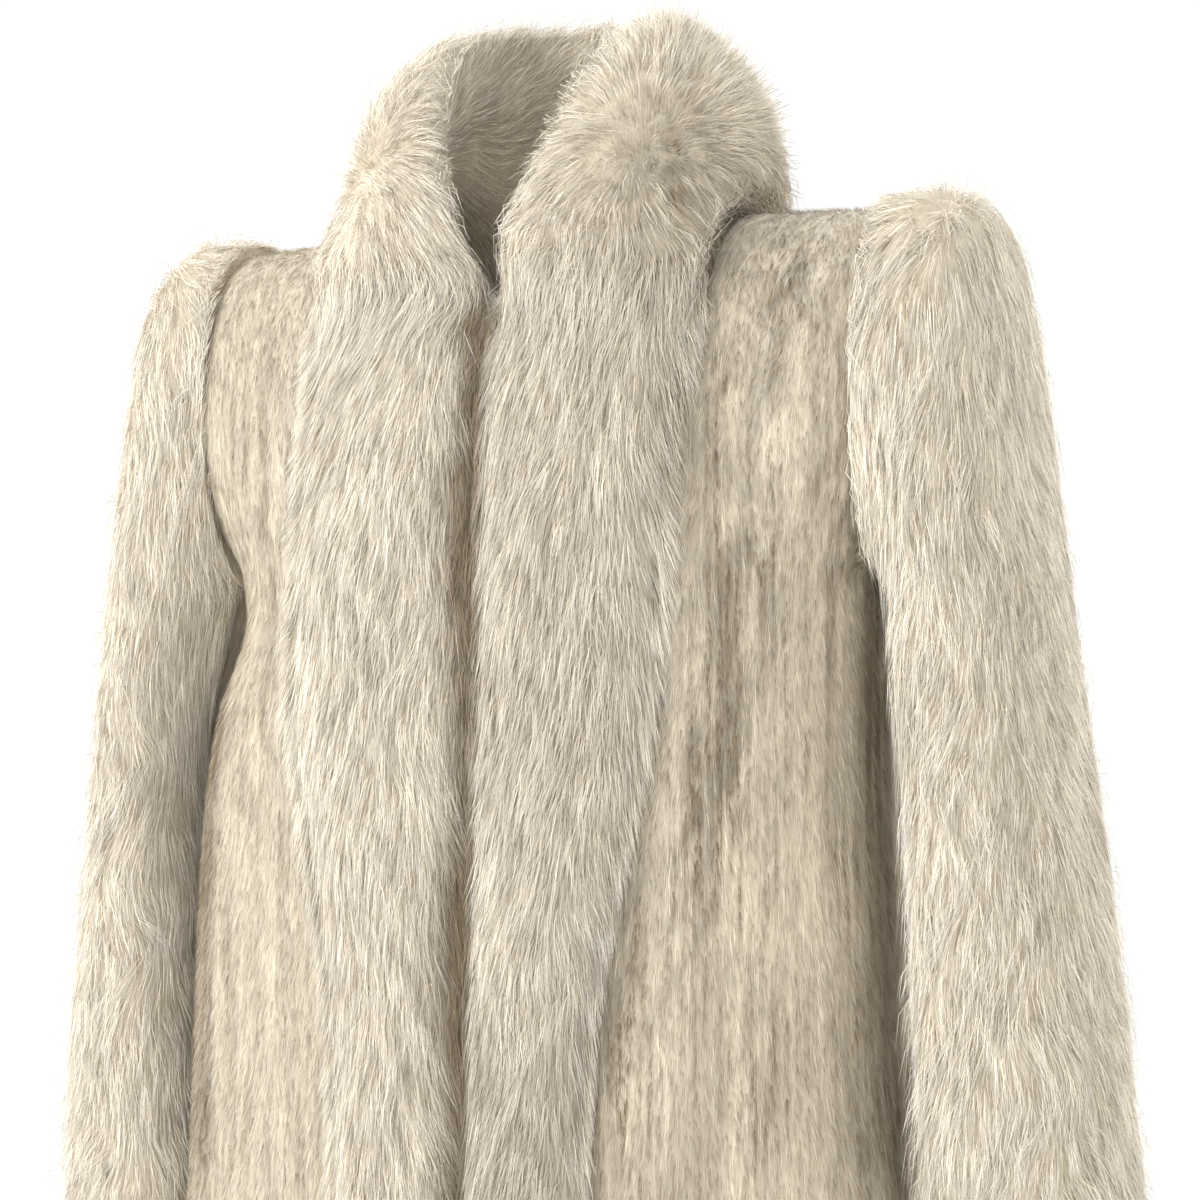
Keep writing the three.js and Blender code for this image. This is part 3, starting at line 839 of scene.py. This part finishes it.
def collar_flow(side):
    """Hair that parts in a whorl and turns down below it"""
    whorl = np.array([side * 0.114, -0.1, 0.03])

    def flow(around, up, root, over):
        away = tousled(root - whorl, root, 81, 0.007)
        distance = np.linalg.norm(away, axis=1)
        low = ease(-root[:, 2], -0.07, 0.02)
        lie = unit(away) * 0.62 + np.array([0, 0, -0.9]) * low[:, None]
        return lie * np.minimum(distance / 0.06, 1)[:, None]
    return flow


fox_collar = dict(fox_long, length=0.038, root=0.35, past=(0.2, 0.2, 0.12, 0.05), stand=0.42, loose=0.16)
for side, word in ((1, "left"), (-1, "right")):
    sheet = band_sheet(side)
    pelt = sheet_wall(f"tuxedo_{word}_pelt", sheet, 0, 0.07, 8, 50, fox_tone_light_and_shade, [fox_pelt, lining])
    under = sheet_wall(f"tuxedo_{word}_underfur", sheet, 0.08, 0.74, 18, 80, fox_tone_light_and_shade, [fox_pelt])
    sheet = band_under_collar(side)
    guard = lay_hair(
        f"tuxedo_{word}_hair", sheet, sheet, 49000, 43 + side, fox_long, band_flow(side), fox_tone_light_and_shade,
        fox_hair,
    )
    for piece in (pelt, under, guard):
        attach(piece, "root")
    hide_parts(f"tuxedo_{word}")

    sheet = collar_sheet(side)
    pelt = sheet_wall(f"collar_{word}_pelt", sheet, 0, 0.06, 36, 24, fox_tone_light_and_shade, [fox_pelt])
    under = sheet_wall(
        f"collar_{word}_underfur", collar_underfur(side), 0.08, 0.68, 48, 36, fox_tone_light_and_shade, [fox_pelt]
    )
    guard = lay_hair(
        f"collar_{word}_hair", sheet, collar_over_band(side), 42000, 53 + side, fox_collar,
        collar_flow(side), fox_tone_light_and_shade, fox_hair,
    )
    for piece in (pelt, under, guard):
        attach(piece, "root")
    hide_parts(f"collar_{word}")

# Fox top sleeves
# The cap, front and outside of each sleeve are fox, set into a padded shoulder.
# The hair parts in a whorl on the cap and runs down to the cuff in wavy tufts.
sleeve_rings = {
    "outer_x": (272, 296, 310, 318, 327, 338, 349, 360, 370, 381),
    "outer_z": (-11, -21, -52, -104, -170, -262, -352, -450, -555, -690),
    "left_x": (250, 257, 261, 263, 266, 271, 275, 278, 282, 287),
    "right_x": (250, 258, 266, 274, 284, 290, 294, 297, 300, 303),
    "inner_z": (-241, -252, -272, -300, -335, -388, -446, -515, -595, -700),
    "y": (6, 11, 14, 17, 19, 21, 24, 27, 29, 31),
    "half_deep": (71, 75, 79, 82, 83, 83, 82, 80, 78, 77),
}
armhole_ring = {
    "outer_x": 242, "outer_z": shoulder_z, "left_x": 241, "right_x": 241, "inner_z": underarm_z,
    "y": 0, "half_deep": armhole_half_deep,
}
last_ring = len(sleeve_rings["y"])
sleeve_flare_high = 75
sleeve_lean_under_arm = 0.3
fox_sleeve_pile = 28
fox_edge_pile = 11
fox_seam_share = 0.55
fox_seam_rise = 0.14
fox_end_inside = 163


def sleeve_form(side, degrees, place, pile):
    """Round the sleeve, 0 degrees faces out and 90 to the front; place counts rows from the armhole"""
    turn = np.radians(degrees)
    out = rounded(np.cos(turn), armhole_round)
    ahead = rounded(np.sin(turn), armhole_round)
    z = (underarm_z + shoulder_z) / 2 + out * ((shoulder_z - underarm_z) / 2 + pile)
    clear = 2 * seam_gap + sleeve_lean_under_arm * np.maximum(underarm_z - z, 0)
    seam = np.stack([
        armhole_x(z, mink_pile, sleeve_flare_high) + clear, -ahead * (armhole_half_deep + pile), z,
    ], -1)

    def value(name):
        first = smooth_value((armhole_ring[name],) + sleeve_rings[name], place)
        return np.where(place < 1, first, smooth_value(sleeve_rings[name], place - 1))
    zero = np.zeros_like(place)
    outer = np.stack([value("outer_x"), zero, value("outer_z")], -1)
    inner = np.stack([value("left_x" if side > 0 else "right_x"), zero, value("inner_z")], -1)
    half = (outer - inner) / 2
    reach = out * (np.linalg.norm(half, axis=-1) + pile)
    ring = (outer + inner) / 2 + unit(half) * reach[:, None]
    ring[:, 1] = value("y") - ahead * (value("half_deep") + pile)
    form = np.where((place <= 0)[:, None], seam, ring)
    form[:, 0] *= side
    return form * 0.001


def fox_start(down):
    """The angle round the sleeve at which the fox begins, behind; it narrows towards the cuff"""
    return mix(-62, -20, ease(down, 0.15, 0.75))


def fox_sleeve_sheet(side):
    """The top sleeve, from its back seam at 0 across to its front seam at 1"""
    def sheet(across, up, share):
        down = 1 - up
        crown = (1 - np.abs(across * 2 - 1) ** 4) ** 0.5
        full = fox_sleeve_pile * mix(fox_seam_share, 1, ease(down, 0, fox_seam_rise))
        pile = mix(fox_edge_pile, full, crown)
        degrees = mix(fox_start(down), fox_end_inside, across)
        return sleeve_form(side, degrees, down * last_ring, share * pile)
    return sheet


def sleeve_flow(side):
    """Hair that parts in a whorl on the cap, runs down and fans out to the seams"""
    whorl = np.array([side * 0.312, -0.05, 0.0])

    def flow(across, up, root, over):
        away = tousled(root - whorl, root, 85, 0.016)
        distance = np.linalg.norm(away, axis=1)
        far = ease(distance, 0.02, 0.1)
        fan = (across - 0.5) * 0.55 + (across * 2 - 1) ** 5 * 0.4 - (0.12 if side < 0 else 0)
        down = np.array([0, 0, -1.0]) + over * fan[:, None]
        lie = unit(away) * (1 - far)[:, None] + down * far[:, None]
        return lie * np.minimum(distance / 0.04, 1)[:, None]
    return flow


fox_sleeve_hair = dict(fox_long, length=0.038, past=(0.06, 0.06, 0.03, 0.03), wave=0.14, stand=0.5)
for side, word in ((1, "left"), (-1, "right")):
    sheet = fox_sleeve_sheet(side)
    pelt = sheet_wall(f"sleeve_{word}_fox_pelt", sheet, 0, 0.08, 24, 36, fox_tone_light_and_shade, [fox_pelt, lining])
    under = sheet_wall(f"sleeve_{word}_underfur", sheet, 0.09, 0.74, 30, 48, fox_tone_light_and_shade, [fox_pelt])
    guard = lay_hair(
        f"sleeve_{word}_hair", sheet, past_edges(sheet), 62000, 63 + side, fox_sleeve_hair,
        sleeve_flow(side), fox_tone_light_and_shade, fox_hair,
    )
    for piece in (pelt, under, guard):
        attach(piece, "root")
    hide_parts(f"sleeve_{word}_fox")

# Mink under sleeves
# The back and inside of each sleeve are strips of mink, sewn to the fox along both sides.
# They run from the armhole to the cuff.


def mink_sleeve_sheet(side):
    """The under sleeve, from the fox's front seam at 0 across to its back seam at 1"""
    def sheet(across, up, share):
        down = 1 - up
        seam = 0.35
        degrees = mix(fox_end_inside + seam, 360 - seam + fox_start(down), across)
        return sleeve_form(side, degrees, down * last_ring, share * (mink_pile - 1))
    return sheet


def under_sleeve_tone_and_shade(places):
    """Strips and streaks, and painted shade on the inside of the arm, where it hangs beside the body"""
    strips = waves(places, 71, 0.024, 2.0)
    streaks = waves(places, 72, 0.008, 1.6)
    # Painted shade on the inside of the arm, facing the body, below the armhole
    inside = ease(-np.abs(places[:, 0]), -0.31, -0.28) * ease(-places[:, 2], 0.25, 0.32)
    return np.clip(0.2 + 0.1 * strips + 0.12 * streaks + 0.4 * inside, 0, 1)


for side, word in ((1, "left"), (-1, "right")):
    sheet = mink_sleeve_sheet(side)
    pelt = sheet_wall(
        f"sleeve_{word}_mink_pelt", sheet, 0, 0.6, 24, 40, under_sleeve_tone_and_shade, [mink_pelt, lining]
    )
    nap = lay_hair(
        f"sleeve_{word}_nap", sheet, past_edges(sheet), 26000, 73 + side, mink_nap, hangs_down,
        under_sleeve_tone_and_shade, mink_hair,
    )
    for piece in (pelt, nap):
        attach(piece, "root")
    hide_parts(f"sleeve_{word}_mink")

# Studio
# A plain pale floor some way under the hem, soft light from all round and large lamps in front.
floor_z = -1.45
bm = bmesh.new()
bmesh.ops.create_grid(bm, x_segments=1, y_segments=1, size=30)
bmesh.ops.translate(bm, verts=bm.verts, vec=(0, 0, floor_z))
floor_mesh = bpy.data.meshes.new("studio_floor")
bm.to_mesh(floor_mesh)
bm.free()
floor = bpy.data.objects.new("studio_floor", floor_mesh)
bpy.context.scene.collection.objects.link(floor)
floor_paint = bpy.data.materials.new("pale floor")
floor_paint.use_nodes = True
floor_paint.node_tree.nodes["Principled BSDF"].inputs["Base Color"].default_value = (0.97, 0.97, 0.97, 1)
floor_paint.node_tree.nodes["Principled BSDF"].inputs["Roughness"].default_value = 0.9
floor_mesh.materials.append(floor_paint)

world = bpy.data.worlds.new("studio")
bpy.context.scene.world = world
world.use_nodes = True
world.node_tree.nodes["Background"].inputs["Color"].default_value = (1, 1, 1, 1)
world.node_tree.nodes["Background"].inputs["Strength"].default_value = 1.06
bpy.context.scene.view_settings.view_transform = "Standard"
for name, place, watts, wide in (
    ("key", (-2.0, -2.4, 1.6), 100, 1.6),
    ("fill", (2.4, -2.0, 0.6), 10, 2.0),
    ("back", (0.5, 2.6, 1.6), 40, 2.0),
):
    lamp = bpy.data.lights.new(name, "AREA")
    lamp.energy = watts
    lamp.size = wide
    lamp_object = bpy.data.objects.new(name, lamp)
    lamp_object.location = place
    aim = Vector((0, 0, -0.4)) - Vector(place)
    lamp_object.rotation_euler = aim.to_track_quat("-Z", "Y").to_euler()
    bpy.context.scene.collection.objects.link(lamp_object)

# Camera
# It stands at the photograph's angle, a little to the wearer's left, level with the chest.
camera_turn = math.radians(27)
camera_away = 2.3
camera_z = -0.337
frame_pixels = 1200
focal_pixels = 3335
axis_pixel = 565
horizon_pixel = 720
camera_data = bpy.data.cameras.new("photo")
camera_data.sensor_width = 36
camera_data.lens = focal_pixels / frame_pixels * camera_data.sensor_width
camera_data.shift_x = (frame_pixels / 2 - axis_pixel) / frame_pixels
camera_data.shift_y = (horizon_pixel - frame_pixels / 2) / frame_pixels
camera = bpy.data.objects.new("photo", camera_data)
camera.location = (
    math.sin(camera_turn) * camera_away, -math.cos(camera_turn) * camera_away, camera_z,
)
camera.rotation_euler = (math.pi / 2, 0, camera_turn)
bpy.context.scene.collection.objects.link(camera)
bpy.context.scene.camera = camera
